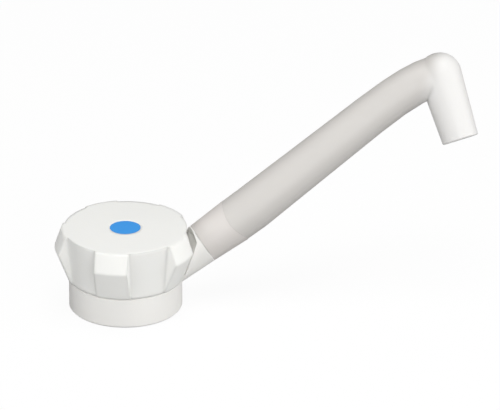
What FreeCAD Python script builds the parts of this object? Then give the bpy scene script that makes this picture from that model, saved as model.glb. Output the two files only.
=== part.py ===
import FreeCAD, Part
import math
import os
import Sketcher

# A tap for a water can: a base ring with a swivelling spout, a five-lobed knob over a screw-down
# valve, and a small switch that starts the pump when the knob is turned. Millimetres, +Z up, origin
# on the knob's axis at the foot of the base ring, +X towards the spout's branch.

SIZES = {
    # Base ring and deck
    "ring_radius": 22.7,
    "ring_height": 12.5,
    "ring_wall": 2.0,
    "deck_thickness": 3.0,
    "ring_bevel": 0.5,
    "column_radius": 9.4,
    "rib_thickness": 1.2,
    "rib_recess": 2.5,
    "rib_count": 6,
    # Inlet
    "inlet_thread_radius": 5.9,
    "bush_radius": 7.6,
    "bush_height": 6.0,
    "bush_groove_depth": 0.5,
    "bush_groove_width": 1.5,
    "inlet_seal_thickness": 1.0,
    "inlet_seal_bore": 3.1,
    # Valve seat, chamber and barrel
    "seat_radius": 2.6,
    "seat_land": 0.9,
    "seat_lip_height": 0.6,
    "floor_thickness": 1.6,
    "chamber_radius": 5.3,
    "chamber_height": 3.7,
    "guide_radius": 5.0,
    "guide_flat": 4.1,
    "guide_height": 7.6,
    "gland_bore_radius": 6.2,
    "gland_bore_depth": 4.1,
    "barrel_radius": 8.2,
    # Duct from the chamber into the branch
    "duct_height": 10.1,
    "duct_width": 5.0,
    "duct_depth": 2.6,
    "duct_turn_at": 21.5,
    "duct_turn_radius": 4.0,
    "duct_boss_half": 4.2,
    "duct_boss_wall": 1.6,
    # Branch and nipple
    "branch_angle": 31.0,
    "joint_reach": 32.1,
    "joint_height": 22.1,
    "branch_run": 22.8,
    "branch_root_radius": 7.8,
    "branch_end_radius": 8.44,
    "knob_gap": 0.4,
    "nipple_radius": 4.95,
    "nipple_length": 13.4,
    "nipple_bore": 2.9,
    "seal_groove_depth": 0.85,
    "seal_groove_width": 1.3,
    "seal_width": 1.2,
    "seal_bevel": 0.2,
    "spout_seal_at": 3.4,
    "spout_seal_pitch": 3.6,
    "clip_groove_at": 11.3,
    "clip_groove_width": 1.1,
    "clip_groove_depth": 0.8,
    # Knob
    "seam_gap": 0.3,
    "knob_top": 33.65,
    "knob_rim_radius": 25.5,
    "knob_core_radius": 24.7,
    "knob_core_foot": 22.9,
    "flute_root_radius": 21.8,
    "knob_crest_radius": 28.3,
    "knob_crest_height": 25.7,
    "knob_foot_radius": 23.3,
    "lobe_count": 5,
    "lobe_root_angle": 38.0,
    "lobe_crest_angle": 27.5,
    "lobe_bearing": 24.8,
    "knob_bore_radius": 20.2,
    "knob_plate": 2.4,
    "hub_radius": 6.2,
    "hub_drop": 3.95,
    "drive_depth": 2.5,
    "screw_plate": 0.9,
    "head_well_radius": 4.2,
    "cap_radius": 6.15,
    "cap_thickness": 1.0,
    "cap_plug_height": 1.6,
    "cap_plug_wall": 0.8,
    # Turning stops
    "stop_inner": 18.0,
    "stop_post_lead": 0.6,      # how much nearer the axis the post begins than the lug
    "stop_width": 2.4,
    "stop_clearance": 0.4,
    "stop_bearing": 220.0,
    "stop_post_height": 3.9,
    "stop_lug_foot": 14.0,
    "stop_play": 1.0,
    "knob_turn": 180.0,
    # Spindle, gland and screws
    "spindle_thread_radius": 2.5,
    "spindle_thread_length": 4.7,
    "spindle_collar_radius": 5.9,
    "spindle_collar": 1.2,
    "spindle_stem_radius": 3.4,
    "spindle_top": 29.7,
    "drive_square": 4.75,
    "drive_height": 2.8,
    "stem_groove_depth": 0.85,
    "stem_seal_low": 23.0,
    "stem_seal_high": 25.3,
    "thrust_washer": 0.5,
    "gland_flange": 2.3,
    "gland_hex": 13.0,
    "gland_seal": 0.7,
    "knob_screw_radius": 1.15,
    "knob_screw_length": 6.0,
    "knob_head_radius": 2.9,
    "knob_head": 1.6,
    # Plunger and its washer
    "washer_radius": 4.0,
    "washer_thickness": 1.6,
    "plunger_height": 7.0,
    "plunger_floor": 2.2,
    "washer_screw_radius": 1.0,
    "washer_screw_length": 3.4,
    "washer_head_radius": 1.9,
    "washer_head": 1.0,
    # Switch
    "switch_bearing_radius": 14.0,
    "switch_depth": 5.8,
    "switch_length": 12.8,
    "switch_height": 6.5,
    "switch_lift": 2.0,
    "switch_cover": 0.9,
    "switch_hole_radius": 1.15,
    "switch_hole_pitch": 6.5,
    "switch_hole_height": 1.9,
    "switch_screw_radius": 0.8,
    "switch_screw_depth": 3.4,
    "switch_head_radius": 1.7,
    "switch_head": 1.0,
    "switch_wall_height": 6.4,
    "button_length": 2.8,
    "button_width": 1.4,
    "button_height": 0.9,
    "button_sunk": 2.0,
    "button_travel": 0.7,
    "cam_gap": 0.3,
    "cam_inner": 12.4,
    "cam_outer": 15.6,
    "terminal_width": 2.8,
    "terminal_thickness": 0.5,
    "terminal_length": 6.4,
    "terminal_pitch": 4.2,
    "terminal_slot": 1.4,
    # Fits
    "running": 0.08,
    "push_fit": 0.05,
    "thrust_play": 0.1,
    "screw_clearance": 0.15,
    "screw_end_room": 0.2,
    "terminal_clearance": 0.2,
    # Spout neck
    "joint_gap": 0.15,
    "neck_length": 16.15,
    "neck_end_radius": 9.24,
    "neck_side_set": 3.0,
    "neck_shoulder": 11.05,
    "clip_chamber_radius": 6.1,
    "spigot_radius": 7.05,
    "spigot_length": 6.5,
    "spigot_bore": 5.6,
    "clip_radius": 5.75,
    "clip_opening": 60.0,
    # Spout tube: how far each section stands beyond the one before, how far it rises from the
    # branch's axis, how it leans and its outer radius
    "spout_roll": 31.4,
    "tube_wall": 2.3,
    "tube_start_radius": 9.1,
    "belly_run": 8.8,
    "belly_rise": 0.15,
    "belly_lean": 1.3,
    "belly_radius": 9.23,
    "middle_run": 27.0,
    "middle_rise": 1.55,
    "middle_lean": 2.6,
    "middle_radius": 8.78,
    "upper_run": 33.25,
    "upper_rise": 3.3,
    "upper_lean": 1.8,
    "upper_radius": 8.3,
    "bend_run": 11.4,
    "bend_rise": 3.57,
    "bend_lean": -1.9,
    "bend_radius": 8.2,
    "bend_middle_run": 8.3,
    "bend_middle_rise": 3.2,
    "bend_middle_lean": -6.6,
    "bend_middle_radius": 8.22,
    "bend_end_run": 6.65,
    "bend_end_rise": 2.25,
    "bend_end_lean": -12.4,
    "bend_end_radius": 8.3,
    "elbow_run": 5.65,
    "elbow_rise": 0.67,
    "elbow_lean": -20.0,
    "elbow_radius": 8.73,
    "elbow_tube_radius": 8.42,
    "outlet_turn": 107.7,
    "outlet_length": 27.6,
    "mouth_radius": 7.42,
    "mouth_bore": 5.6,
    "mouth_bore_depth": 6.0,
    "mouth_bevel": 0.35,
}

OVERCUT = 1.0        # how far cutting profiles reach outside the solid they cut
TOLERANCE = 0.01     # how closely an edge's radius and height are matched

document = FreeCAD.newDocument("can_tap")
sheet = document.addObject("Spreadsheet::Sheet", "Sizes")
for row, (alias, number) in enumerate(SIZES.items(), start=1):
    sheet.set("A%d" % row, alias)
    sheet.set("B%d" % row, str(number))
    sheet.setAlias("B%d" % row, alias)
document.recompute()


class Size:
    """A number together with the spreadsheet expression that it comes from."""

    def __init__(self, value, text):
        self.value = value
        self.text = text

    def __add__(self, other):
        return Size(self.value + value_of(other), "(%s + %s)" % (self.text, text_of(other)))

    def __radd__(self, other):
        return Size(value_of(other) + self.value, "(%s + %s)" % (text_of(other), self.text))

    def __sub__(self, other):
        return Size(self.value - value_of(other), "(%s - %s)" % (self.text, text_of(other)))

    def __rsub__(self, other):
        return Size(value_of(other) - self.value, "(%s - %s)" % (text_of(other), self.text))

    def __mul__(self, other):
        return Size(self.value * value_of(other), "(%s * %s)" % (self.text, text_of(other)))

    def __rmul__(self, other):
        return self * other

    def __truediv__(self, other):
        return Size(self.value / value_of(other), "(%s / %s)" % (self.text, text_of(other)))

    def __neg__(self):
        return Size(-self.value, "(-%s)" % self.text)


def value_of(item):
    return item.value if isinstance(item, Size) else float(item)


def text_of(item):
    return item.text if isinstance(item, Size) else "%g" % item


def sine(angle):
    return Size(math.sin(math.radians(angle.value)), "sin(%s)" % angle.text)


def cosine(angle):
    return Size(math.cos(math.radians(angle.value)), "cos(%s)" % angle.text)


def root_of(item):
    return Size(math.sqrt(value_of(item)), "sqrt(%s)" % text_of(item))


def angle_of(length, radius):
    """The angle in degrees that a length spans along a circle."""
    angle = math.degrees(length.value / radius.value)
    return Size(angle, "(%s / %s * 180 / pi)" % (length.text, radius.text))


class Sheet:
    """The spreadsheet's cells by name."""

    def __getattr__(self, alias):
        return Size(float(SIZES[alias]), "Sizes.%s" % alias)


s = Sheet()
FULL_TURN = Size(360.0, "360")

# Places worked out from the driving sizes

deck_low = s.ring_height - s.deck_thickness
floor_low = s.bush_height + s.inlet_seal_thickness
chamber_floor = floor_low + s.floor_thickness
seat_top = chamber_floor + s.seat_lip_height
guide_low = chamber_floor + s.chamber_height
guide_top = guide_low + s.guide_height
barrel_top = guide_top + s.gland_bore_depth
knob_low = s.ring_height + s.seam_gap
ceiling = s.knob_top - s.knob_plate
hub_low = ceiling - s.hub_drop
drive_top = hub_low + s.drive_depth
screw_seat = drive_top + s.screw_plate
cap_seat = s.knob_top - s.cap_thickness
collar_low = guide_top + s.thrust_play
collar_top = collar_low + s.spindle_collar
gland_low = collar_top + s.thrust_play + s.thrust_washer
flange_low = barrel_top + s.gland_seal
plunger_low = seat_top + s.washer_thickness
switch_low = s.ring_height + s.switch_lift
switch_top = switch_low + s.switch_height
button_top = switch_top + s.button_height
cam_face = button_top + s.cam_gap
switch_back = s.switch_bearing_radius - s.switch_depth / 2
switch_front = s.switch_bearing_radius + s.switch_depth / 2
tube_run = s.belly_run + s.middle_run + s.upper_run + s.bend_run + s.bend_middle_run + s.bend_end_run
elbow_along = s.neck_length + tube_run + s.elbow_run
neck_across = (s.neck_end_radius + OVERCUT) * 2

# Building blocks


def vector(x, y, z=0):
    return FreeCAD.Vector(value_of(x), value_of(y), value_of(z))


def new_body(name):
    body = document.addObject("PartDesign::Body", name)
    body.Label = name
    return body


def new_sketch(body, role, name, shift=(0, 0, 0), turn=0, tilt=None):
    """A sketch on one of the body's origin planes, moved by shift and turned in that plane."""
    sketch = body.newObject("Sketcher::SketchObject", name)
    plane = [item for item in body.Origin.OriginFeatures if item.Role == role][0]
    sketch.AttachmentSupport = [(plane, "")]
    sketch.MapMode = "FlatFace"
    axis = FreeCAD.Vector(0, 1, 0) if tilt is not None else FreeCAD.Vector(0, 0, 1)
    angle = tilt if tilt is not None else turn
    sketch.AttachmentOffset = FreeCAD.Placement(vector(*shift), FreeCAD.Rotation(axis, value_of(angle)))
    for letter, amount in zip("xyz", shift):
        if isinstance(amount, Size):
            sketch.setExpression("AttachmentOffset.Base.%s" % letter, amount.text)
    if isinstance(angle, Size):
        sketch.setExpression("AttachmentOffset.Rotation.Angle", angle.text)
    return sketch


def dimension(sketch, kind, *where):
    """A sketch dimension whose value follows the sheet."""
    size = where[-1]
    index = sketch.addConstraint(Sketcher.Constraint(kind, *where[:-1], value_of(size)))
    if isinstance(size, Size):
        sketch.setExpression("Constraints[%d]" % index, size.text)


def pin(sketch, edge, end, x, y):
    """Hold one end of an edge at x, y in the sketch."""
    for kind, axis, amount in (("DistanceX", -2, x), ("DistanceY", -1, y)):
        if isinstance(amount, Size) or amount:
            dimension(sketch, kind, -1, 1, edge, end, amount)
        else:
            sketch.addConstraint(Sketcher.Constraint("PointOnObject", edge, end, axis))


def polygon(sketch, points):
    """A closed outline of straight lines through the points."""
    count = len(points)
    first = sketch.GeometryCount
    for index, point in enumerate(points):
        following = points[(index + 1) % count]
        sketch.addGeometry(Part.LineSegment(vector(*point), vector(*following)), False)
    for index in range(count):
        after = first + (index + 1) % count
        sketch.addConstraint(Sketcher.Constraint("Coincident", first + index, 2, after, 1))
    for index, point in enumerate(points):
        pin(sketch, first + index, 1, *point)


def circle(sketch, radius):
    edge = sketch.addGeometry(Part.Circle(vector(0, 0), FreeCAD.Vector(0, 0, 1), radius.value), False)
    sketch.addConstraint(Sketcher.Constraint("Coincident", edge, 3, -1, 1))
    dimension(sketch, "Radius", edge, radius)


def arc(sketch, radius, start, end, centre=(0, 0)):
    """An arc round centre from one angle to another, in degrees, with its radius from the sheet."""
    whole = Part.Circle(vector(*centre), FreeCAD.Vector(0, 0, 1), value_of(radius))
    edge = sketch.addGeometry(Part.ArcOfCircle(whole, math.radians(start), math.radians(end)), False)
    pin(sketch, edge, 3, *centre)
    dimension(sketch, "Radius", edge, radius)
    return edge


def line(sketch, start, end):
    return sketch.addGeometry(Part.LineSegment(vector(*start), vector(*end)), False)


def join(sketch, edge, end, other, other_end):
    sketch.addConstraint(Sketcher.Constraint("Coincident", edge, end, other, other_end))


def revolve(body, kind, name, points, axis="V_Axis", role="XZ_Plane", **place):
    """A Revolution or a Groove of a closed outline about the sketch's own axis."""
    sketch = new_sketch(body, role, name + "_profile", **place)
    polygon(sketch, points)
    feature = body.newObject("PartDesign::" + kind, name)
    feature.Profile = sketch
    feature.ReferenceAxis = (sketch, [axis])
    feature.Angle = 360
    body.Tip = feature
    document.recompute()
    return feature


def extrude(body, kind, name, sketch, length=None, symmetric=False, reverse=False):
    """A Pad or a Pocket of a sketch; with no length it goes through everything."""
    feature = body.newObject("PartDesign::" + kind, name)
    feature.Profile = sketch
    if length is None:
        feature.Type = "ThroughAll"
    elif isinstance(length, Size):
        feature.setExpression("Length", length.text)
    else:
        feature.Length = length
    if symmetric:
        feature.SideType = "Symmetric"
    feature.Reversed = reverse
    body.Tip = feature
    document.recompute()
    return feature


def pattern_round(body, name, feature, count, angle=360):
    pattern = body.newObject("PartDesign::PolarPattern", name)
    pattern.Originals = [feature]
    pattern.Axis = (new_sketch(body, "XY_Plane", name + "_axis"), ["N_Axis"])
    pattern.Angle = angle
    pattern.setExpression("Occurrences", count.text)
    body.Tip = pattern
    document.recompute()
    return pattern


def bevel_edges(body, name, size, wanted):
    """A chamfer on those edges of the body for which wanted(edge) holds."""
    base = body.Tip
    names = ["Edge%d" % number for number, edge in enumerate(base.Shape.Edges, start=1) if wanted(edge)]
    chamfer = body.newObject("PartDesign::Chamfer", name)
    chamfer.Base = (base, names)
    chamfer.setExpression("Size", size.text)
    body.Tip = chamfer
    document.recompute()
    return chamfer


def has_radius(edge, radius):
    """Whether an edge is part of a circle of that radius."""
    if edge.Degenerated or not hasattr(edge.Curve, "Radius"):
        return False
    return abs(edge.Curve.Radius - value_of(radius)) < TOLERANCE


def turned(name, points, axis="V_Axis"):
    body = new_body(name)
    revolve(body, "Revolution", name + "_turn", points, axis)
    return body


def on_branch(body):
    """Stands a body built along X at the spout joint, along the branch's axis."""
    body.setExpression("Placement", (
        "placement(vector(Sizes.joint_reach; 0; Sizes.joint_height);"
        " rotation(vector(0; 1; 0); -Sizes.branch_angle))"))


def on_spout(body):
    """The same, rolled about the axis with the spout."""
    body.setExpression("Placement", (
        "placement(vector(Sizes.joint_reach; 0; Sizes.joint_height);"
        " rotation(vector(0; 1; 0); -Sizes.branch_angle)"
        " * rotation(vector(1; 0; 0); -Sizes.spout_roll))"))


def double_d(sketch, radius, flat):
    """A circle with two flats, the section that lets the plunger slide but not turn."""
    half = root_of(radius * radius - flat * flat)
    angle = math.degrees(math.atan2(flat.value, half.value))
    top = line(sketch, (half, flat), (-half, flat))
    left = arc(sketch, radius, 180 - angle, 180 + angle)
    bottom = line(sketch, (-half, -flat), (half, -flat))
    right = arc(sketch, radius, -angle, angle)
    join(sketch, top, 2, left, 1)
    join(sketch, left, 2, bottom, 1)
    join(sketch, bottom, 2, right, 1)
    join(sketch, right, 2, top, 1)
    for edge, height in ((top, flat), (bottom, -flat)):
        sketch.addConstraint(Sketcher.Constraint("Horizontal", edge))
        dimension(sketch, "DistanceY", -1, 1, edge, 1, height)


def rectangle(sketch, x_low, x_high, half):
    polygon(sketch, [(x_low, -half), (x_high, -half), (x_high, half), (x_low, half)])


# The tap body: ring, deck, barrel, branch and nipple in one moulding


def seal_groove(at):
    """The four corners of one groove in the nipple, for an outline that runs along it."""
    low = at - s.seal_groove_width / 2
    high = at + s.seal_groove_width / 2
    bottom = s.nipple_radius - s.seal_groove_depth
    return [(low, s.nipple_radius), (low, bottom), (high, bottom), (high, s.nipple_radius)]


def make_tap_body():
    body = new_body("tap_body")
    shoulder = s.ring_radius - s.ring_bevel
    revolve(body, "Revolution", "base_disc", [
        (0, 0), (shoulder, 0), (s.ring_radius, s.ring_bevel),
        (s.ring_radius, s.ring_height - s.ring_bevel), (shoulder, s.ring_height), (0, s.ring_height)])
    at_joint = dict(shift=(s.joint_reach, s.joint_height, 0), turn=s.branch_angle)
    clip_bottom = s.nipple_radius - s.clip_groove_depth
    clip_end = s.clip_groove_at + s.clip_groove_width
    outline = [(-s.branch_run, 0), (-s.branch_run, s.branch_root_radius), (0, s.branch_end_radius),
               (0, s.nipple_radius)]
    outline += seal_groove(s.spout_seal_at)
    outline += seal_groove(s.spout_seal_at + s.spout_seal_pitch)
    outline += [(s.clip_groove_at, s.nipple_radius), (s.clip_groove_at, clip_bottom),
                (clip_end, clip_bottom), (clip_end, s.nipple_radius),
                (s.nipple_length, s.nipple_radius), (s.nipple_length, 0)]
    revolve(body, "Revolution", "branch", outline, "H_Axis", **at_joint)
    over = s.knob_top + OVERCUT
    revolve(body, "Groove", "knob_clearance", [
        (0, s.ring_height), (s.knob_foot_radius + s.knob_gap, s.ring_height),
        (s.knob_crest_radius + s.knob_gap, s.knob_crest_height),
        (s.knob_rim_radius + s.knob_gap, s.knob_top), (s.knob_rim_radius + s.knob_gap, over),
        (0, over)])
    hollow = s.ring_radius - s.ring_wall
    revolve(body, "Groove", "underside", [
        (s.column_radius, -OVERCUT), (hollow, -OVERCUT), (hollow, deck_low),
        (s.column_radius, deck_low)])
    add_duct_boss(body, hollow)
    add_ribs(body, hollow)
    revolve(body, "Revolution", "barrel", [
        (0, deck_low), (s.barrel_radius, deck_low), (s.barrel_radius, barrel_top), (0, barrel_top)])
    add_switch_seat(body)
    add_stop_posts(body)
    revolve(body, "Groove", "inlet_and_chamber", [
        (0, -OVERCUT), (s.bush_radius, -OVERCUT), (s.bush_radius, floor_low),
        (s.seat_radius, floor_low), (s.seat_radius, seat_top), (s.seat_radius + s.seat_land, seat_top),
        (s.seat_radius + s.seat_land, chamber_floor), (s.chamber_radius, chamber_floor),
        (s.chamber_radius, guide_low), (0, guide_low)])
    guide = new_sketch(body, "XY_Plane", "guide_section", shift=(0, 0, guide_top))
    double_d(guide, s.guide_radius, s.guide_flat)
    extrude(body, "Pocket", "plunger_guide", guide, s.guide_height)
    revolve(body, "Groove", "gland_bore", [
        (0, guide_top), (s.gland_bore_radius, guide_top),
        (s.gland_bore_radius, barrel_top + OVERCUT), (0, barrel_top + OVERCUT)])
    cut_duct(body)
    revolve(body, "Groove", "nipple_bore", [
        (-s.nipple_bore / 2, 0), (-s.nipple_bore / 2, s.nipple_bore),
        (s.nipple_length + OVERCUT, s.nipple_bore), (s.nipple_length + OVERCUT, 0)],
        "H_Axis", **at_joint)
    return body


def add_duct_boss(body, hollow):
    """A rib of the deck that carries the duct across the hollow underside."""
    low = s.duct_height - s.duct_depth / 2 - s.duct_boss_wall
    sketch = new_sketch(body, "YZ_Plane", "duct_boss_section")
    half = s.duct_boss_half
    polygon(sketch, [(-half, low), (half, low), (half, s.ring_height), (-half, s.ring_height)])
    extrude(body, "Pad", "duct_boss", sketch, hollow + s.ring_wall / 2)


def add_ribs(body, hollow):
    """Thin ribs between the inlet column and the ring."""
    spacing = FULL_TURN / s.rib_count
    sketch = new_sketch(body, "XY_Plane", "rib_section", shift=(0, 0, s.rib_recess), turn=spacing / 2)
    rectangle(sketch, s.column_radius - s.ring_wall / 2, hollow + s.ring_wall / 2, s.rib_thickness / 2)
    rib = extrude(body, "Pad", "rib", sketch, deck_low - s.rib_recess)
    pattern_round(body, "ribs", rib, s.rib_count)


def add_switch_seat(body):
    """A raised seat and an upright wall for the switch, and the slot for its terminals."""
    half = s.switch_length / 2
    seat = new_sketch(body, "XY_Plane", "switch_seat_section", shift=(0, 0, s.ring_height))
    rectangle(seat, -switch_front, -switch_back, half)
    extrude(body, "Pad", "switch_seat", seat, s.switch_lift)
    wall = new_sketch(body, "XY_Plane", "switch_wall_section", shift=(0, 0, s.ring_height))
    rectangle(wall, -switch_back, -s.guide_radius - s.ring_wall, half - s.ring_wall / 2)
    extrude(body, "Pad", "switch_wall", wall, s.switch_wall_height)
    slot = new_sketch(body, "XY_Plane", "terminal_slot_section", shift=(0, 0, switch_low))
    middle = -s.switch_bearing_radius
    reach = s.terminal_pitch + s.terminal_width / 2 + s.terminal_clearance
    rectangle(slot, middle - s.terminal_slot / 2, middle + s.terminal_slot / 2, reach)
    extrude(body, "Pocket", "terminal_slot", slot, s.deck_thickness + s.switch_lift + OVERCUT)
    holes = new_sketch(body, "YZ_Plane", "switch_screw_holes", shift=(0, 0, -switch_back))
    height = switch_low + s.switch_hole_height
    for side in (-1, 1):
        hole_at(holes, side * s.switch_hole_pitch / 2, height, s.switch_screw_radius + s.push_fit)
    extrude(body, "Pocket", "switch_screw_bores", holes, s.switch_screw_depth + s.screw_end_room,
            reverse=True)


def hole_at(sketch, x, y, radius):
    whole = Part.Circle(vector(x, y), FreeCAD.Vector(0, 0, 1), value_of(radius))
    edge = sketch.addGeometry(whole, False)
    pin(sketch, edge, 3, x, y)
    dimension(sketch, "Radius", edge, radius)


def add_stop_posts(body):
    """Two posts on the deck that end the knob's turn."""
    apart = angle_of(s.stop_width, s.stop_inner + s.stop_width / 2) + s.stop_play
    closed = s.stop_bearing - apart
    opened = s.stop_bearing + s.knob_turn + apart
    for name, bearing in (("closed_stop", closed), ("open_stop", opened)):
        sketch = new_sketch(body, "XY_Plane", name + "_section", shift=(0, 0, s.ring_height), turn=bearing)
        outer = s.knob_bore_radius - s.stop_clearance
        rectangle(sketch, s.stop_inner - s.stop_post_lead, outer, s.stop_width / 2)
        extrude(body, "Pad", name, sketch, s.stop_post_height)


def cut_duct(body):
    """A flat-sided duct from the chamber through the ring wall, curving up to the nipple."""
    start = (s.seat_radius + s.seat_land + s.chamber_radius) / 2
    section = new_sketch(body, "YZ_Plane", "duct_section", shift=(0, s.duct_height, start))
    half_flat = (s.duct_width - s.duct_depth) / 2
    radius = s.duct_depth / 2
    top = line(section, (half_flat, radius), (-half_flat, radius))
    left = arc(section, radius, 90, 270, (-half_flat, 0))
    bottom = line(section, (-half_flat, -radius), (half_flat, -radius))
    right = arc(section, radius, -90, 90, (half_flat, 0))
    join(section, top, 2, left, 1)
    join(section, left, 2, bottom, 1)
    join(section, bottom, 2, right, 1)
    join(section, right, 2, top, 1)
    for edge, side in ((top, 1), (bottom, -1)):
        dimension(section, "DistanceX", -1, 1, edge, 1, half_flat * side)
        dimension(section, "DistanceX", -1, 1, edge, 2, half_flat * -side)
    spine = new_sketch(body, "XZ_Plane", "duct_path")
    turn_at = (s.duct_turn_at.value, s.duct_height.value)
    centre = (turn_at[0], turn_at[1] + s.duct_turn_radius.value)
    away = (s.joint_reach.value - centre[0], s.joint_height.value - centre[1])
    climb = math.atan2(away[1], away[0]) + math.asin(s.duct_turn_radius.value / math.hypot(*away))
    bend_end = (centre[0] + s.duct_turn_radius.value * math.sin(climb),
                centre[1] - s.duct_turn_radius.value * math.cos(climb))
    level = line(spine, (start, s.duct_height), turn_at)
    whole = Part.Circle(vector(*centre), FreeCAD.Vector(0, 0, 1), s.duct_turn_radius.value)
    bend = spine.addGeometry(Part.ArcOfCircle(whole, -math.pi / 2, climb - math.pi / 2), False)
    rise = line(spine, bend_end, (s.joint_reach, s.joint_height))
    pin(spine, level, 1, start, s.duct_height)
    pin(spine, level, 2, s.duct_turn_at, s.duct_height)
    spine.addConstraint(Sketcher.Constraint("Tangent", level, 2, bend, 1))
    spine.addConstraint(Sketcher.Constraint("Tangent", bend, 2, rise, 1))
    dimension(spine, "Radius", bend, s.duct_turn_radius)
    pin(spine, rise, 2, s.joint_reach, s.joint_height)
    duct = body.newObject("PartDesign::SubtractivePipe", "duct")
    duct.Profile = section
    duct.Spine = spine
    body.Tip = duct
    document.recompute()


# Inlet


def make_inlet():
    middle = s.bush_height / 2
    half = s.bush_groove_width / 2
    waist = s.bush_radius - s.bush_groove_depth
    turned("inlet_bush", [
        (s.inlet_thread_radius, 0), (s.bush_radius, 0), (s.bush_radius, middle - half),
        (waist, middle - half), (waist, middle + half), (s.bush_radius, middle + half),
        (s.bush_radius, s.bush_height), (s.inlet_thread_radius, s.bush_height)])
    outer = s.bush_radius - s.push_fit
    turned("inlet_seal", [
        (s.inlet_seal_bore, s.bush_height), (outer, s.bush_height), (outer, floor_low),
        (s.inlet_seal_bore, floor_low)])


# Valve


def make_plunger():
    body = new_body("valve_plunger")
    section = new_sketch(body, "XY_Plane", "plunger_section", shift=(0, 0, plunger_low))
    double_d(section, s.guide_radius - s.running, s.guide_flat - s.running)
    extrude(body, "Pad", "plunger_block", section, s.plunger_height)
    bore = s.spindle_thread_radius + s.running
    top = plunger_low + s.plunger_height
    hole = s.washer_screw_radius + s.push_fit
    revolve(body, "Groove", "plunger_bore", [
        (0, plunger_low - OVERCUT), (hole, plunger_low - OVERCUT),
        (hole, plunger_low + s.plunger_floor), (bore, plunger_low + s.plunger_floor),
        (bore, top + OVERCUT), (0, top + OVERCUT)])


def make_washer():
    hole = s.washer_screw_radius + s.push_fit
    turned("valve_washer", [
        (hole, seat_top), (s.washer_radius, seat_top), (s.washer_radius, plunger_low), (hole, plunger_low)])
    head_low = seat_top - s.washer_head
    turned("washer_screw", [
        (0, head_low), (s.washer_head_radius, head_low), (s.washer_head_radius, seat_top),
        (s.washer_screw_radius, seat_top), (s.washer_screw_radius, seat_top + s.washer_screw_length),
        (0, seat_top + s.washer_screw_length)])


def make_spindle():
    body = new_body("spindle")
    thread_low = collar_low - s.spindle_thread_length
    drive_low = s.spindle_top - s.drive_height
    groove_bottom = s.spindle_stem_radius - s.stem_groove_depth
    outline = [(0, thread_low), (s.spindle_thread_radius, thread_low),
               (s.spindle_thread_radius, collar_low), (s.spindle_collar_radius, collar_low),
               (s.spindle_collar_radius, collar_top), (s.spindle_stem_radius, collar_top)]
    for at in (s.stem_seal_low, s.stem_seal_high):
        low = at - s.seal_groove_width / 2
        high = at + s.seal_groove_width / 2
        outline += [(s.spindle_stem_radius, low), (groove_bottom, low), (groove_bottom, high),
                    (s.spindle_stem_radius, high)]
    outline += [(s.spindle_stem_radius, drive_low), (0, drive_low)]
    revolve(body, "Revolution", "spindle_turn", outline)
    square = new_sketch(body, "XY_Plane", "drive_section", shift=(0, 0, drive_low))
    half = s.drive_square / 2
    rectangle(square, -half, half, half)
    extrude(body, "Pad", "drive", square, s.drive_height)
    hole = s.knob_screw_radius + s.push_fit
    bottom = screw_seat - s.knob_screw_length
    revolve(body, "Groove", "screw_hole", [
        (0, bottom), (hole, bottom), (hole, s.spindle_top + OVERCUT), (0, s.spindle_top + OVERCUT)])


def make_gland():
    body = new_body("gland_nut")
    bore = s.spindle_stem_radius + s.running
    outer = s.gland_bore_radius - s.push_fit
    revolve(body, "Revolution", "gland_thread", [
        (bore, gland_low), (outer, gland_low), (outer, flange_low + s.gland_flange / 2),
        (bore, flange_low + s.gland_flange / 2)])
    hexagon = new_sketch(body, "XY_Plane", "gland_hexagon", shift=(0, 0, flange_low))
    corner = s.gland_hex / root_of(3)
    half = s.gland_hex / 2
    polygon(hexagon, [(corner, 0), (corner / 2, half), (-corner / 2, half), (-corner, 0),
                      (-corner / 2, -half), (corner / 2, -half)])
    extrude(body, "Pad", "gland_head", hexagon, s.gland_flange)
    revolve(body, "Groove", "gland_bore_through", [
        (0, gland_low - OVERCUT), (bore, gland_low - OVERCUT),
        (bore, flange_low + s.gland_flange + OVERCUT), (0, flange_low + s.gland_flange + OVERCUT)])
    turned("gland_seal", [
        (s.gland_bore_radius, barrel_top), (s.barrel_radius, barrel_top), (s.barrel_radius, flange_low),
        (s.gland_bore_radius, flange_low)])
    low = collar_top + s.thrust_play / 2
    turned("thrust_washer", [
        (s.spindle_stem_radius + s.running, low), (s.spindle_collar_radius, low),
        (s.spindle_collar_radius, low + s.thrust_washer),
        (s.spindle_stem_radius + s.running, low + s.thrust_washer)])


def seal_section(groove_radius, reach, at):
    """(place along the axis, radius) of a lathe-cut sealing ring with bevelled outer corners."""
    half = s.seal_width / 2
    shoulder = reach - s.seal_bevel
    return [(at - half, groove_radius), (at + half, groove_radius), (at + half, shoulder),
            (at + half - s.seal_bevel, reach), (at - half + s.seal_bevel, reach), (at - half, shoulder)]


def make_stem_seals():
    bottom = s.spindle_stem_radius - s.stem_groove_depth
    for name, at in (("spindle_seal_lower", s.stem_seal_low), ("spindle_seal_upper", s.stem_seal_high)):
        section = seal_section(bottom, s.spindle_stem_radius + s.push_fit, at)
        turned(name, [(radius, height) for height, radius in section])


def make_nipple_seals():
    bottom = s.nipple_radius - s.seal_groove_depth
    second = s.spout_seal_at + s.spout_seal_pitch
    for name, at in (("spout_seal_inner", s.spout_seal_at), ("spout_seal_outer", second)):
        body = turned(name, seal_section(bottom, s.nipple_radius + s.push_fit, at), "H_Axis")
        on_branch(body)


# Knob


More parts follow.
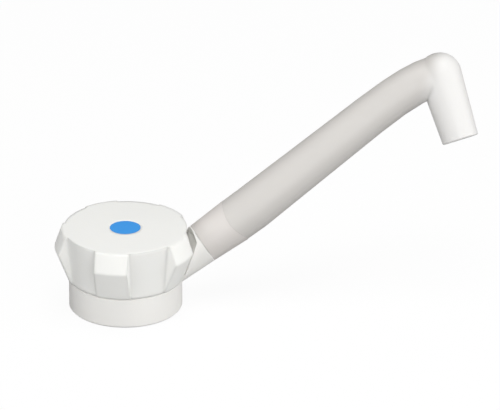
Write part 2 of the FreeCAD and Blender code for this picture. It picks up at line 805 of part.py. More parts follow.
def make_knob():
    body = new_body("knob")
    revolve(body, "Revolution", "knob_form", [
        (0, knob_low), (s.knob_foot_radius, knob_low), (s.knob_crest_radius, s.knob_crest_height),
        (s.knob_rim_radius, s.knob_top), (0, s.knob_top)])
    cut_flutes(body)
    revolve(body, "Revolution", "knob_core", [
        (0, knob_low), (s.knob_core_foot, knob_low), (s.knob_core_radius, s.knob_top), (0, s.knob_top)])
    revolve(body, "Groove", "knob_hollow", [
        (0, knob_low - OVERCUT), (s.knob_bore_radius, knob_low - OVERCUT),
        (s.knob_bore_radius, ceiling), (0, ceiling)])
    revolve(body, "Revolution", "hub", [
        (0, hub_low), (s.hub_radius, hub_low), (s.hub_radius, ceiling + s.knob_plate / 2),
        (0, ceiling + s.knob_plate / 2)])
    square = new_sketch(body, "XY_Plane", "knob_drive_section", shift=(0, 0, hub_low))
    half = s.drive_square / 2 + s.push_fit
    rectangle(square, -half, half, half)
    extrude(body, "Pocket", "knob_drive", square, s.drive_depth, reverse=True)
    hole = s.knob_screw_radius + s.screw_clearance
    cap_well = s.cap_radius + s.push_fit
    revolve(body, "Groove", "knob_wells", [
        (0, hub_low), (hole, hub_low), (hole, screw_seat),
        (s.head_well_radius, screw_seat), (s.head_well_radius, cap_seat), (cap_well, cap_seat),
        (cap_well, s.knob_top + OVERCUT), (0, s.knob_top + OVERCUT)])
    lug = new_sketch(body, "XY_Plane", "stop_lug_section", shift=(0, 0, s.stop_lug_foot), turn=s.stop_bearing)
    rectangle(lug, s.stop_inner, s.knob_bore_radius + s.stop_clearance, s.stop_width / 2)
    extrude(body, "Pad", "stop_lug", lug, ceiling - s.stop_lug_foot)
    return body


def cut_flutes(body):
    """The grips between the lobes: one pocket with converging sides, repeated round the axis."""
    step = FULL_TURN / s.lobe_count
    root_half = (step - s.lobe_root_angle) / 2
    crest_half = (step - s.lobe_crest_angle) / 2
    root = (s.flute_root_radius * cosine(root_half), s.flute_root_radius * sine(root_half))
    crest = (s.knob_crest_radius * cosine(crest_half), s.knob_crest_radius * sine(crest_half))
    slope = (crest[1] - root[1]) / (crest[0] - root[0])
    out = s.knob_crest_radius + OVERCUT
    side = root[1] + (out - root[0]) * slope
    turn = s.lobe_bearing + step / 2
    sketch = new_sketch(body, "XY_Plane", "flute_section", shift=(0, 0, s.knob_top), turn=turn)
    lower = line(sketch, (root[0], -root[1]), (out, -side))
    end = line(sketch, (out, -side), (out, side))
    upper = line(sketch, (out, side), root)
    angle = root_half.value
    core = arc(sketch, s.flute_root_radius, -angle, angle)
    join(sketch, lower, 2, end, 1)
    join(sketch, end, 2, upper, 1)
    join(sketch, upper, 2, core, 2)
    join(sketch, core, 1, lower, 1)
    dimension(sketch, "DistanceY", -1, 1, lower, 1, -root[1])
    dimension(sketch, "DistanceY", -1, 1, upper, 2, root[1])
    pin(sketch, lower, 2, out, -side)
    pin(sketch, upper, 1, out, side)
    flute = extrude(body, "Pocket", "flute", sketch)
    pattern_round(body, "flutes", flute, s.lobe_count)


def make_cap_and_screw():
    plug_outer = s.head_well_radius - s.push_fit
    plug_inner = plug_outer - s.cap_plug_wall
    plug_low = cap_seat - s.cap_plug_height / 2
    turned("knob_cap", [
        (0, cap_seat), (plug_inner, cap_seat), (plug_inner, plug_low), (plug_outer, plug_low),
        (plug_outer, cap_seat), (s.cap_radius, cap_seat), (s.cap_radius, s.knob_top), (0, s.knob_top)])
    low = screw_seat - s.knob_screw_length + s.screw_end_room
    turned("knob_screw", [
        (0, low), (s.knob_screw_radius, low), (s.knob_screw_radius, screw_seat),
        (s.knob_head_radius, screw_seat), (s.knob_head_radius, screw_seat + s.knob_head),
        (0, screw_seat + s.knob_head)])


def make_cam_ring():
    """A ring under the knob's plate whose slanting lower face presses the switch as it turns."""
    body = new_body("cam_ring")
    lowest = cam_face - s.button_travel - OVERCUT
    revolve(body, "Revolution", "cam_blank", [
        (s.cam_inner, lowest), (s.cam_outer, lowest), (s.cam_outer, ceiling), (s.cam_inner, ceiling)])
    sketch = new_sketch(body, "XZ_Plane", "cam_slope")
    reach = s.cam_outer + OVERCUT
    middle = cam_face - s.button_travel / 2
    rise = s.button_travel / 2 / s.switch_bearing_radius * reach
    floor = lowest - OVERCUT
    polygon(sketch, [(-reach, floor), (reach, floor), (reach, middle - rise), (-reach, middle + rise)])
    extrude(body, "Pocket", "cam_face_cut", sketch, reach * 2, symmetric=True)


# Switch


def switch_block(name, low, high):
    """A slice of the switch from low to high along X, with its two screw holes."""
    body = new_body(name)
    section = new_sketch(body, "XY_Plane", name + "_section", shift=(0, 0, switch_low))
    rectangle(section, low, high, s.switch_length / 2)
    extrude(body, "Pad", name + "_block", section, s.switch_height)
    holes = new_sketch(body, "YZ_Plane", name + "_holes", shift=(0, 0, high))
    hole_height = switch_low + s.switch_hole_height
    for side in (-1, 1):
        hole_at(holes, side * s.switch_hole_pitch / 2, hole_height, s.switch_hole_radius)
    extrude(body, "Pocket", name + "_bores", holes)
    return body


def make_switch():
    split = switch_back + s.switch_cover
    case = switch_block("switch_case", -switch_front, -split)
    switch_block("switch_cover", -split, -switch_back)
    well = new_sketch(case, "XY_Plane", "button_well", shift=(0, 0, switch_top))
    middle = -s.switch_bearing_radius
    wide = s.button_width / 2 + s.running
    rectangle(well, middle - wide, middle + wide, s.button_length / 2 + s.running)
    extrude(case, "Pocket", "button_guide", well, s.button_sunk + s.button_travel + s.cam_gap)


def make_button():
    body = new_body("switch_button")
    section = new_sketch(body, "XZ_Plane", "button_section")
    middle = -s.switch_bearing_radius
    half = s.button_width / 2
    low = switch_top - s.button_sunk
    polygon(section, [
        (middle - half, low), (middle + half, low), (middle + half, button_top - half / 2),
        (middle + half / 2, button_top), (middle - half / 2, button_top),
        (middle - half, button_top - half / 2)])
    extrude(body, "Pad", "button_block", section, s.button_length, symmetric=True)


def make_terminals():
    middle = -s.switch_bearing_radius
    half = s.terminal_thickness / 2
    sides = (("switch_terminal_left", -1), ("switch_terminal_middle", 0), ("switch_terminal_right", 1))
    for name, side in sides:
        body = new_body(name)
        low = switch_low - s.terminal_length
        centre = side * s.terminal_pitch
        section = new_sketch(body, "YZ_Plane", name + "_section", shift=(0, 0, middle))
        wide = s.terminal_width / 2
        polygon(section, [
            (centre - wide / 2, low), (centre + wide / 2, low), (centre + wide, low + wide),
            (centre + wide, switch_low), (centre - wide, switch_low), (centre - wide, low + wide)])
        extrude(body, "Pad", name + "_tab", section, half * 2, symmetric=True)


def make_switch_screws():
    height = switch_low + s.switch_hole_height
    shank = s.switch_depth + s.switch_screw_depth
    for name, side in (("switch_screw_left", -1), ("switch_screw_right", 1)):
        body = turned(name, [
            (0, 0), (s.switch_screw_radius, 0), (s.switch_screw_radius, shank),
            (s.switch_head_radius, shank), (s.switch_head_radius, shank + s.switch_head),
            (0, shank + s.switch_head)])
        tip = -(switch_back - s.switch_screw_depth)
        body.setExpression("Placement", (
            "placement(vector(%s; %s; %s); rotation(vector(0; 1; 0); -90))"
            % (tip.text, (side * s.switch_hole_pitch / 2).text, height.text)))


# Spout


def make_clip():
    """A snap ring, open on one side, in the nipple's last groove."""
    body = new_body("spout_clip")
    inner = s.nipple_radius - s.clip_groove_depth + s.push_fit
    low = s.clip_groove_at + s.push_fit
    high = s.clip_groove_at + s.clip_groove_width - s.push_fit
    revolve(body, "Revolution", "clip_ring", [
        (low, inner), (high, inner), (high, s.clip_radius), (low, s.clip_radius)], "H_Axis")
    opening = new_sketch(body, "YZ_Plane", "clip_gap")
    reach = s.clip_radius + OVERCUT
    spread = reach * sine(s.clip_opening / 2) / cosine(s.clip_opening / 2)
    polygon(opening, [(0, 0), (-spread, -reach), (spread, -reach)])
    extrude(body, "Pocket", "clip_gap_cut", opening, (s.nipple_length + OVERCUT) * 2, symmetric=True)
    on_branch(body)


def saddle_radius():
    """Radius of the curved cut that parts neck and tube, from how far its sides are set back."""
    half = s.neck_end_radius
    return (half * half + s.neck_side_set * s.neck_side_set) / (s.neck_side_set * 2)


def make_neck():
    body = new_body("spout_neck")
    overshoot = s.neck_length + s.neck_side_set
    bore = s.nipple_radius + s.running
    revolve(body, "Revolution", "neck_sleeve", [
        (s.joint_gap, bore), (s.joint_gap, s.branch_end_radius), (s.neck_length, s.neck_end_radius),
        (overshoot, s.neck_end_radius), (overshoot, bore)], "H_Axis")
    centre = s.neck_length - saddle_radius()
    section = new_sketch(body, "XY_Plane", "saddle")
    saddle(section, centre, overshoot + OVERCUT)
    extrude(body, "Pocket", "saddle_cut", section, neck_across, symmetric=True)
    spigot_end = s.neck_length + s.spigot_length
    spigot_start = s.neck_shoulder + s.joint_gap
    revolve(body, "Revolution", "spigot", [
        (spigot_start, s.clip_chamber_radius), (spigot_start, s.spigot_radius),
        (spigot_end, s.spigot_radius), (spigot_end, s.spigot_bore), (s.neck_length, s.spigot_bore),
        (s.neck_length, s.clip_chamber_radius)], "H_Axis")
    revolve(body, "Groove", "neck_bore", [
        (s.neck_shoulder, 0), (s.neck_shoulder, s.clip_chamber_radius),
        (s.neck_length, s.clip_chamber_radius), (s.neck_length, s.spigot_bore),
        (spigot_end + OVERCUT, s.spigot_bore), (spigot_end + OVERCUT, 0)], "H_Axis")
    on_spout(body)


def saddle(sketch, centre, reach):
    """Everything beyond the saddle curve, as seen from the side of the spout."""
    radius = saddle_radius()
    half = neck_across / 2
    depth = root_of(radius * radius - half * half)
    angle = math.degrees(math.atan2(half.value, depth.value))
    curve = arc(sketch, radius, -angle, angle, (centre, 0))
    upper = line(sketch, (centre + depth, half), (reach, half))
    far = line(sketch, (reach, half), (reach, -half))
    lower = line(sketch, (reach, -half), (centre + depth, -half))
    join(sketch, curve, 2, upper, 1)
    join(sketch, upper, 2, far, 1)
    join(sketch, far, 2, lower, 1)
    join(sketch, lower, 2, curve, 1)
    dimension(sketch, "DistanceY", -1, 1, upper, 1, half)
    dimension(sketch, "DistanceY", -1, 1, lower, 2, -half)
    pin(sketch, upper, 2, reach, half)
    pin(sketch, far, 2, reach, -half)


def tube_stations(inset, start):
    """Place, lean and radius of the spout's sections, from the neck to the elbow."""
    belly = s.neck_length + s.belly_run
    middle = belly + s.middle_run
    upper = middle + s.upper_run
    bend = upper + s.bend_run
    bend_middle = bend + s.bend_middle_run
    bend_end = bend_middle + s.bend_end_run
    return [
        (start, 0, 0, s.tube_start_radius - inset),
        (belly, s.belly_rise, s.belly_lean, s.belly_radius - inset),
        (middle, s.middle_rise, s.middle_lean, s.middle_radius - inset),
        (upper, s.upper_rise, s.upper_lean, s.upper_radius - inset),
        (bend, s.bend_rise, s.bend_lean, s.bend_radius - inset),
        (bend_middle, s.bend_middle_rise, s.bend_middle_lean, s.bend_middle_radius - inset),
        (bend_end, s.bend_end_rise, s.bend_end_lean, s.bend_end_radius - inset),
        (elbow_along, s.elbow_rise, s.elbow_lean, s.elbow_tube_radius - inset),
    ]


def loft_tube(body, kind, name, stations):
    sections = []
    for number, (along, rise, lean, radius) in enumerate(stations, start=1):
        sketch = new_sketch(body, "YZ_Plane", "%s_section_%d" % (name, number),
                            shift=(0, rise, along), tilt=lean)
        circle(sketch, radius)
        sections.append(sketch)
    loft = body.newObject("PartDesign::" + kind, name)
    loft.Profile = sections[0]
    loft.Sections = sections[1:]
    loft.Ruled = True
    body.Tip = loft
    document.recompute()


def outlet_profile(body, kind, name, radius, mouth, length):
    """The outlet and the ball of the elbow, turned about the outlet's axis."""
    sketch = new_sketch(body, "XZ_Plane", name + "_profile", shift=(elbow_along, s.elbow_rise, 0),
                        turn=-s.outlet_turn)
    ball = arc(sketch, radius, 90, 180)
    wall = line(sketch, (0, radius), (length, mouth))
    end = line(sketch, (length, mouth), (length, 0))
    spine = line(sketch, (length, 0), (-radius, 0))
    join(sketch, ball, 1, wall, 1)
    join(sketch, wall, 2, end, 1)
    join(sketch, end, 2, spine, 1)
    join(sketch, spine, 2, ball, 2)
    sketch.addConstraint(Sketcher.Constraint("PointOnObject", ball, 1, -2))
    sketch.addConstraint(Sketcher.Constraint("PointOnObject", ball, 2, -1))
    pin(sketch, end, 1, length, mouth)
    pin(sketch, end, 2, length, 0)
    feature = body.newObject("PartDesign::" + kind, name)
    feature.Profile = sketch
    feature.ReferenceAxis = (sketch, ["H_Axis"])
    feature.Angle = 360
    body.Tip = feature
    document.recompute()


def make_tube():
    body = new_body("spout_tube")
    start = s.neck_length - s.neck_side_set - s.joint_gap
    loft_tube(body, "AdditiveLoft", "tube", tube_stations(0, start))
    outlet_profile(body, "Revolution", "outlet", s.elbow_radius, s.mouth_radius, s.outlet_length)
    bevel_edges(body, "mouth_edge_bevel", s.mouth_bevel, mouth_edge)
    cut_start = s.neck_length - s.neck_side_set
    loft_tube(body, "SubtractiveLoft", "waterway", tube_stations(s.tube_wall, cut_start))
    bore_from = s.outlet_length - s.mouth_bore_depth
    outlet_profile(body, "Groove", "outlet_waterway", s.elbow_radius - s.tube_wall,
                   s.mouth_bore, bore_from)
    mouth = dict(shift=(elbow_along, s.elbow_rise, 0), turn=-s.outlet_turn)
    revolve(body, "Groove", "mouth_bore", [
        (bore_from, 0), (bore_from, s.mouth_bore),
        (s.outlet_length + OVERCUT, s.mouth_bore), (s.outlet_length + OVERCUT, 0)],
        "H_Axis", **mouth)
    spigot_end = s.neck_length + s.spigot_length
    revolve(body, "Groove", "neck_socket", [
        (0, 0), (0, s.spigot_radius + s.push_fit), (spigot_end + s.push_fit, s.spigot_radius + s.push_fit),
        (spigot_end + s.push_fit, 0)], "H_Axis")
    section = new_sketch(body, "XY_Plane", "tube_saddle")
    circle_centre = s.neck_length - saddle_radius()
    hole_at(section, circle_centre, 0, saddle_radius() + s.push_fit)
    extrude(body, "Pocket", "tube_saddle_cut", section, neck_across, symmetric=True)
    on_spout(body)


def mouth_edge(edge):
    return has_radius(edge, s.mouth_radius)


make_tap_body()
make_inlet()
make_plunger()
make_washer()
make_spindle()
make_gland()
make_stem_seals()
make_nipple_seals()
make_knob()
make_cap_and_screw()
make_cam_ring()
make_switch()
make_button()
make_terminals()
make_switch_screws()
make_clip()
make_neck()
make_tube()
document.recompute()

# Nothing is written until every object is sound

for item in document.Objects:
    if "Invalid" in item.State or "Error" in item.State:
        raise RuntimeError("%s did not build: %s" % (item.Name, item.State))

nodes = [item for item in document.Objects if item.TypeId == "PartDesign::Body"]
for node in nodes:
    if node.Shape.isNull() or not node.Shape.isValid():
        raise RuntimeError("%s has no sound shape" % node.Label)

os.makedirs("parts", exist_ok=True)
for node in nodes:
    node.Shape.exportStep("parts/%s.step" % node.Label)
print("%d nodes written" % len(nodes))
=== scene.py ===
import math

import bpy
from mathutils import Matrix, Vector

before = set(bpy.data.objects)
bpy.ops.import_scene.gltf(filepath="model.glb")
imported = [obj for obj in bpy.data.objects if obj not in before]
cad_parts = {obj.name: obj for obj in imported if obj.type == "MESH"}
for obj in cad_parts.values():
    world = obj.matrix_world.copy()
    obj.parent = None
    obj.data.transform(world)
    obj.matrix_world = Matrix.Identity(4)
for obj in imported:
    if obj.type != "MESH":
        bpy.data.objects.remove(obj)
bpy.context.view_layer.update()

MM = 0.001

# The camera stands where the photograph was taken from: turned from the branch's plane, looking
# down, and far off, so that upright edges stay nearly parallel.
PHOTO_WIDTH, PHOTO_HEIGHT = 500, 410
VIEW_TURN = math.radians(17.35)
VIEW_DROP = math.radians(25.2)
MM_PER_PIXEL = 0.4015
LENS_PIXELS = 7500.0
SENSOR_WIDTH = 36.0
BASE_PIXEL = (125.8, 303.2)      # where the foot of the knob's axis lies in the photograph

WHITE_BASE = (0.86, 0.85, 0.822)
WHITE_KNOB = (0.85, 0.85, 0.824)
# The neck is the same white plastic as the body; its grey is painted shade, standing for the shade
# beside the knob.
PAINTED_SHADE_NECK = (0.655, 0.625, 0.60)
# The tube is the same white plastic as its outlet; its grey is painted shade, blended to white at the
# elbow.
PAINTED_SHADE_SPOUT = (0.585, 0.566, 0.542)
WHITE_OUTLET = (0.735, 0.727, 0.712)
CAP_BLUE = (0.05, 0.32, 0.8)
BRASS = (0.72, 0.54, 0.25)
RUBBER = (0.022, 0.022, 0.023)
ACETAL = (0.52, 0.53, 0.54)
STEEL = (0.58, 0.585, 0.59)
SWITCH_BLACK = (0.03, 0.03, 0.033)
SWITCH_RED = (0.5, 0.04, 0.03)
TIN = (0.72, 0.71, 0.68)
BACKDROP = (0.35, 0.35, 0.35)
BACKDROP_SEEN = (0.9, 0.9, 0.9)

# The elbow's middle and the way the water runs there, both in the part's frame at rest. The spout's
# painted shade, a grey on the tube, fades to the spout's own white between two distances along that way.
ELBOW_PLACE = (0.13227, 0.00035, 0.08295)
ELBOW_FLOW = (0.8606, -0.4207, -0.2870)
PAINTED_SHADE_FADE_START, PAINTED_SHADE_GONE = -0.007, 0.001

# Edges rounded by shading: their radius, and how many rays look for the faces beside them.
KNOB_EDGE = 0.0018
BODY_EDGE = 0.0004
CREASE = 0.0025
CREASE_NEAR, CREASE_FAR = 0.014, 0.022
EDGE_RAYS, CREASE_RAYS = 8, 6

# Plastic: cells per metre of its colour cloud, its grain and its sink waves, and their depths.
CLOUD_SCALE, GRAIN_SCALE, WAVE_SCALE = 55.0, 2600.0, 90.0
GRAIN_STRENGTH, GRAIN_DEPTH = 0.35, 0.000012
WAVE_STRENGTH, WAVE_DEPTH = 0.25, 0.00008
PLASTIC_SHADE = 0.975
PLASTIC_SMOOTHER, PLASTIC_ROUGHER = 0.05, 0.07
PLASTIC_IOR, PLASTIC_SHINE = 1.5, 0.35
GLOW = 0.06
GLOW_REACH = (0.0012, 0.0011, 0.0009)

# Metal: tool marks drawn out across the axis they were turned about.
BRUSH = (300.0, 300.0, 9000.0)
MARK_STRENGTH, MARK_DEPTH = 0.4, 0.00002
METAL_CLOUD, METAL_SHADE = 260.0, 0.86
METAL_SMOOTHER, METAL_ROUGHER = 0.08, 0.14

RUBBER_GRAIN, RUBBER_CLOUD, RUBBER_SHADE = 4200.0, 300.0, 0.7
RUBBER_STRENGTH, RUBBER_DEPTH = 0.5, 0.00002
RUBBER_ROUGHNESS = (0.5, 0.72)

# Each lamp: name, how far to the camera's right, to the camera and up it stands, and its watts.
LAMPS = (
    ("top_lamp", 0.0, 0.0, 1.0, 7.7),
    ("right_lamp", 1.0, 0.1, 0.2, 6.3),
    ("front_lamp", 0.35, 0.9, 0.3, 6.2),
    ("left_lamp", -0.7, 0.6, 0.35, 5.2),
)
LAMP_AIM = (0.05, 0, 0.04)
LAMP_DISTANCE = 1.1
LAMP_SIZE = 0.9
ROOM_LIGHT = 0.15

FLOOR_SIZE = 8.0
FLOOR_DROP = 0.0002
FLOOR_ROUGHNESS = 0.9
FLOOR_GLOW = 0.93                # share of the floor's own light in what the camera sees
CAMERA_REACH = 20.0


def new_material(name):
    material = bpy.data.materials.new(name)
    material.use_nodes = True
    tree = material.node_tree
    shader = tree.nodes["Principled BSDF"]
    return material, tree, shader


def noise(tree, scale, detail):
    """A noise texture in the part's own coordinates, scale in cells per metre."""
    place = tree.nodes.new("ShaderNodeTexCoord")
    texture = tree.nodes.new("ShaderNodeTexNoise")
    texture.inputs["Scale"].default_value = scale
    texture.inputs["Detail"].default_value = detail
    tree.links.new(place.outputs["Object"], texture.inputs["Vector"])
    return texture.outputs["Fac"]


def spread(tree, value, low, high):
    """Maps a 0 to 1 value to low to high."""
    node = tree.nodes.new("ShaderNodeMapRange")
    node.inputs["To Min"].default_value = low
    node.inputs["To Max"].default_value = high
    tree.links.new(value, node.inputs["Value"])
    return node.outputs["Result"]


def tint(tree, value, colour, shade):
    """A colour that drifts between itself and a slightly darker shade of it."""
    node = tree.nodes.new("ShaderNodeMix")
    node.data_type = "RGBA"
    node.inputs["A"].default_value = (*[channel * shade for channel in colour], 1)
    node.inputs["B"].default_value = (*colour, 1)
    tree.links.new(value, node.inputs["Factor"])
    return node.outputs["Result"]


def elbow_vector(tree, operation, other):
    """A vector sum in the part's own coordinates, which stay with a body that moves."""
    place = tree.nodes.new("ShaderNodeTexCoord")
    node = tree.nodes.new("ShaderNodeVectorMath")
    node.operation = operation
    node.inputs[1].default_value = other
    tree.links.new(place.outputs["Object"], node.inputs[0])
    return node


def painted_shade_ends_past_elbow(tree):
    """0 on the tube, where its grey is painted shade, 1 on the outlet, with a soft change across the
    elbow.
    """
    offset = elbow_vector(tree, "SUBTRACT", ELBOW_PLACE)
    along = tree.nodes.new("ShaderNodeVectorMath")
    along.operation = "DOT_PRODUCT"
    along.inputs[1].default_value = ELBOW_FLOW
    painted_shade_end = tree.nodes.new("ShaderNodeMapRange")
    painted_shade_end.interpolation_type = "SMOOTHSTEP"
    painted_shade_end.inputs["From Min"].default_value = PAINTED_SHADE_FADE_START
    painted_shade_end.inputs["From Max"].default_value = PAINTED_SHADE_GONE
    tree.links.new(offset.outputs["Vector"], along.inputs[0])
    tree.links.new(along.outputs["Value"], painted_shade_end.inputs["Value"])
    return painted_shade_end.outputs["Result"]


def rounded_crease(tree):
    """Normals that round the crease at the elbow, and leave the far end of the tube sharp."""
    distance = elbow_vector(tree, "DISTANCE", ELBOW_PLACE)
    reach = tree.nodes.new("ShaderNodeMapRange")
    reach.inputs["From Min"].default_value = CREASE_NEAR
    reach.inputs["From Max"].default_value = CREASE_FAR
    reach.inputs["To Min"].default_value = CREASE
    reach.inputs["To Max"].default_value = 0.0
    crease = tree.nodes.new("ShaderNodeBevel")
    crease.samples = CREASE_RAYS
    tree.links.new(distance.outputs["Value"], reach.inputs["Value"])
    tree.links.new(reach.outputs["Result"], crease.inputs["Radius"])
    return crease.outputs["Normal"]


def rounded_edges(tree, radius):
    """Normals that round every edge of a moulding, as a mould leaves them."""
    edge = tree.nodes.new("ShaderNodeBevel")
    edge.samples = EDGE_RAYS
    edge.inputs["Radius"].default_value = radius
    return edge.outputs["Normal"]


def bump(tree, layers, normal=None):
    """Bumps laid on each other; each layer is (height value, strength, distance in metres)."""
    for value, strength, distance in layers:
        node = tree.nodes.new("ShaderNodeBump")
        node.inputs["Strength"].default_value = strength
        node.inputs["Distance"].default_value = distance
        tree.links.new(value, node.inputs["Height"])
        if normal is not None:
            tree.links.new(normal, node.inputs["Normal"])
        normal = node.outputs["Normal"]
    return normal


def plastic(name, colour, roughness, glow=0.0, edge=None, outlet=None):
    """Injection-moulded plastic: a faint tooled grain, soft sink waves and slightly uneven gloss.

    An edge rounds the piece's edges; an outlet is the piece's own colour past the elbow, and the colour
    before it is painted shade.
    """
    material, tree, shader = new_material(name)
    cloud = noise(tree, CLOUD_SCALE, 2.0)
    fine = noise(tree, GRAIN_SCALE, 2.0)
    wave = noise(tree, WAVE_SCALE, 1.0)
    paint = tint(tree, cloud, colour, PLASTIC_SHADE)
    rounded = None
    if edge:
        rounded = rounded_edges(tree, edge)
    if outlet:
        rounded = rounded_crease(tree)
        # painted shade: the tube's grey colour blends into the outlet's own white across the elbow
        painted_shade_end = tree.nodes.new("ShaderNodeMix")
        painted_shade_end.data_type = "RGBA"
        painted_shade_end.inputs["B"].default_value = (*outlet, 1)
        tree.links.new(painted_shade_ends_past_elbow(tree), painted_shade_end.inputs["Factor"])
        tree.links.new(paint, painted_shade_end.inputs["A"])
        paint = painted_shade_end.outputs["Result"]
    gloss = spread(tree, fine, roughness - PLASTIC_SMOOTHER, roughness + PLASTIC_ROUGHER)
    layers = [(wave, WAVE_STRENGTH, WAVE_DEPTH), (fine, GRAIN_STRENGTH, GRAIN_DEPTH)]
    tree.links.new(paint, shader.inputs["Base Color"])
    tree.links.new(gloss, shader.inputs["Roughness"])
    tree.links.new(bump(tree, layers, rounded), shader.inputs["Normal"])
    shader.inputs["IOR"].default_value = PLASTIC_IOR
    shader.inputs["Specular IOR Level"].default_value = PLASTIC_SHINE
    if glow:
        shader.inputs["Subsurface Weight"].default_value = glow
        shader.inputs["Subsurface Radius"].default_value = GLOW_REACH
        shader.inputs["Subsurface Scale"].default_value = 1.0
    return material


def metal(name, colour, roughness):
    """Turned or drawn metal with fine tool marks."""
    material, tree, shader = new_material(name)
    place = tree.nodes.new("ShaderNodeTexCoord")
    stretch = tree.nodes.new("ShaderNodeMapping")
    stretch.inputs["Scale"].default_value = BRUSH
    texture = tree.nodes.new("ShaderNodeTexNoise")
    texture.inputs["Scale"].default_value = 1.0
    texture.inputs["Detail"].default_value = 3.0
    tree.links.new(place.outputs["Object"], stretch.inputs["Vector"])
    tree.links.new(stretch.outputs["Vector"], texture.inputs["Vector"])
    marks = texture.outputs["Fac"]
    cloud = noise(tree, METAL_CLOUD, 3.0)
    gloss = spread(tree, marks, roughness - METAL_SMOOTHER, roughness + METAL_ROUGHER)
    tree.links.new(tint(tree, cloud, colour, METAL_SHADE), shader.inputs["Base Color"])
    tree.links.new(gloss, shader.inputs["Roughness"])
    tree.links.new(bump(tree, [(marks, MARK_STRENGTH, MARK_DEPTH)]), shader.inputs["Normal"])
    shader.inputs["Metallic"].default_value = 1.0
    return material


def rubber(name, colour):
    """Moulded rubber with a fine dull grain."""
    material, tree, shader = new_material(name)
    fine = noise(tree, RUBBER_GRAIN, 3.0)
    cloud = noise(tree, RUBBER_CLOUD, 2.0)
    tree.links.new(tint(tree, cloud, colour, RUBBER_SHADE), shader.inputs["Base Color"])
    tree.links.new(spread(tree, fine, *RUBBER_ROUGHNESS), shader.inputs["Roughness"])
    tree.links.new(bump(tree, [(fine, RUBBER_STRENGTH, RUBBER_DEPTH)]), shader.inputs["Normal"])
    return material


def dress_nodes():
    """Gives every node of the CAD part its material."""
    acetal = plastic("grey_acetal", ACETAL, 0.5)
    case = plastic("switch_black_plastic", SWITCH_BLACK, 0.5)
    brass = metal("turned_brass", BRASS, 0.28)
    steel = metal("stainless_steel", STEEL, 0.3)
    tinned = metal("tinned_tab", TIN, 0.35)
    nitrile = rubber("nitrile_rubber", RUBBER)
    dresses = (
        (plastic("white_base_plastic", WHITE_BASE, 0.48, GLOW, edge=BODY_EDGE), ("tap_body",)),
        (plastic("white_knob_plastic", WHITE_KNOB, 0.55, GLOW, edge=KNOB_EDGE), ("knob",)),
        # painted shade: the neck's grey stands for shade on white plastic
        (plastic("neck_plastic_painted_shade", PAINTED_SHADE_NECK, 0.46, GLOW), ("spout_neck",)),
        # painted shade: the tube's grey stands for shade; the spout's own white shows past the elbow
        (plastic("spout_plastic_painted_shade", PAINTED_SHADE_SPOUT, 0.46, GLOW, outlet=WHITE_OUTLET), ("spout_tube",)),
        (plastic("blue_cap_plastic", CAP_BLUE, 0.36), ("knob_cap",)),
        (plastic("switch_red_plastic", SWITCH_RED, 0.45), ("switch_button",)),
        (acetal, ("cam_ring", "thrust_washer")),
        (case, ("switch_case", "switch_cover")),
        (brass, ("inlet_bush", "gland_nut", "spindle", "valve_plunger")),
        (nitrile, ("inlet_seal", "gland_seal", "valve_washer", "spindle_seal_lower",
                   "spindle_seal_upper", "spout_seal_inner", "spout_seal_outer")),
        (steel, ("knob_screw", "washer_screw", "switch_screw_left", "switch_screw_right", "spout_clip")),
        (tinned, ("switch_terminal_left", "switch_terminal_middle", "switch_terminal_right")),
    )
    for material, node_names in dresses:
        for node_name in node_names:
            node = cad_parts[node_name]
            node.data.materials.clear()
            node.data.materials.append(material)


def view_axes():
    """Right, up and away as the camera sees them, in the part's frame."""
    right = Vector((math.cos(VIEW_TURN), -math.sin(VIEW_TURN), 0))
    level = Vector((math.sin(VIEW_TURN), math.cos(VIEW_TURN), 0))
    up = level * math.sin(VIEW_DROP) + Vector((0, 0, math.cos(VIEW_DROP)))
    away = level * math.cos(VIEW_DROP) - Vector((0, 0, math.sin(VIEW_DROP)))
    return right, up, away


def place_camera():
    """Stands the camera so that the knob's axis meets the floor at its pixel in the photograph."""
    right, up, away = view_axes()
    pixel = MM_PER_PIXEL * MM
    sideways = (PHOTO_WIDTH / 2 - BASE_PIXEL[0]) * pixel
    upwards = (BASE_PIXEL[1] - PHOTO_HEIGHT / 2) * pixel
    aim = right * sideways + up * upwards
    camera = bpy.data.objects.new("photo_camera", bpy.data.cameras.new("photo_camera"))
    camera.data.sensor_fit = "HORIZONTAL"
    camera.data.sensor_width = SENSOR_WIDTH
    camera.data.lens = LENS_PIXELS / PHOTO_WIDTH * SENSOR_WIDTH
    camera.data.clip_end = CAMERA_REACH
    turn = Matrix((right, up, -away)).transposed().to_4x4()
    camera.matrix_world = Matrix.Translation(aim - away * LENS_PIXELS * pixel) @ turn
    bpy.context.scene.collection.objects.link(camera)
    bpy.context.scene.camera = camera


def area_light(name, place, target, power):
    """A round soft lamp that faces its target."""
    data = bpy.data.lights.new(name, "AREA")
    data.shape = "DISK"
    data.size = LAMP_SIZE
    data.energy = power
    lamp = bpy.data.objects.new(name, data)
    lamp.location = place
    lamp.rotation_mode = "QUATERNION"
    lamp.rotation_quaternion = (target - place).to_track_quat("-Z", "Y")
    bpy.context.scene.collection.objects.link(lamp)


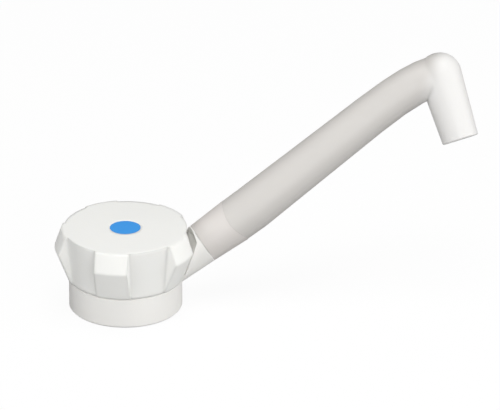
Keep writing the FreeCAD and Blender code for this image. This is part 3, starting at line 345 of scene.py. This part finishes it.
def light_scene():
    """Four soft lamps, mostly from above, the camera's side and its right, in a dim pale room."""
    right, up, away = view_axes()
    level = Vector((away.x, away.y, 0)).normalized()
    middle = Vector(LAMP_AIM)
    for name, sideways, nearer, higher, power in LAMPS:
        way = (right * sideways - level * nearer + Vector((0, 0, higher))).normalized()
        area_light(name, middle + way * LAMP_DISTANCE, middle, power)
    world = bpy.data.worlds.new("pale_room")
    world.use_nodes = True
    tree = world.node_tree
    background = tree.nodes["Background"]
    background.inputs["Color"].default_value = (1, 1, 1, 1)
    paths = tree.nodes.new("ShaderNodeLightPath")
    strength = tree.nodes.new("ShaderNodeMix")
    strength.inputs["A"].default_value = ROOM_LIGHT
    strength.inputs["B"].default_value = 1.0         # white where only the camera looks
    tree.links.new(paths.outputs["Is Camera Ray"], strength.inputs["Factor"])
    tree.links.new(strength.outputs["Result"], background.inputs["Strength"])
    bpy.context.scene.world = world


def mixed_shader(tree, share, first, second):
    node = tree.nodes.new("ShaderNodeMixShader")
    tree.links.new(share, node.inputs["Fac"])
    tree.links.new(first, node.inputs[1])
    tree.links.new(second, node.inputs[2])
    return node.outputs["Shader"]


def floor_material():
    """Near white to the camera, grey where it lights the part, and clear from below."""
    material, tree, shader = new_material("pale_floor")
    paths = tree.nodes.new("ShaderNodeLightPath")
    to_camera = paths.outputs["Is Camera Ray"]
    seen = tree.nodes.new("ShaderNodeMix")
    seen.data_type = "RGBA"
    seen.inputs["A"].default_value = (*BACKDROP, 1)
    seen.inputs["B"].default_value = (*BACKDROP_SEEN, 1)
    tree.links.new(to_camera, seen.inputs["Factor"])
    tree.links.new(seen.outputs["Result"], shader.inputs["Base Color"])
    shader.inputs["Roughness"].default_value = FLOOR_ROUGHNESS
    shader.inputs["Specular IOR Level"].default_value = 0.0
    glow = tree.nodes.new("ShaderNodeEmission")
    glow.inputs["Color"].default_value = (1, 1, 1, 1)
    share = tree.nodes.new("ShaderNodeMath")
    share.operation = "MULTIPLY"
    share.inputs[1].default_value = FLOOR_GLOW
    tree.links.new(to_camera, share.inputs[0])
    above = mixed_shader(tree, share.outputs["Value"], shader.outputs["BSDF"], glow.outputs["Emission"])
    side = tree.nodes.new("ShaderNodeNewGeometry")
    clear = tree.nodes.new("ShaderNodeBsdfTransparent")
    surface = mixed_shader(tree, side.outputs["Backfacing"], above, clear.outputs["BSDF"])
    tree.links.new(surface, tree.nodes["Material Output"].inputs["Surface"])
    return material


def lay_floor():
    """A wide floor a hair under the part."""
    bpy.ops.mesh.primitive_plane_add(size=FLOOR_SIZE, location=(0, 0, -FLOOR_DROP))
    floor = bpy.context.object
    floor.name = "floor"
    floor.data.materials.append(floor_material())


dress_nodes()
place_camera()
light_scene()
lay_floor()
bpy.context.scene.view_settings.view_transform = "Standard"
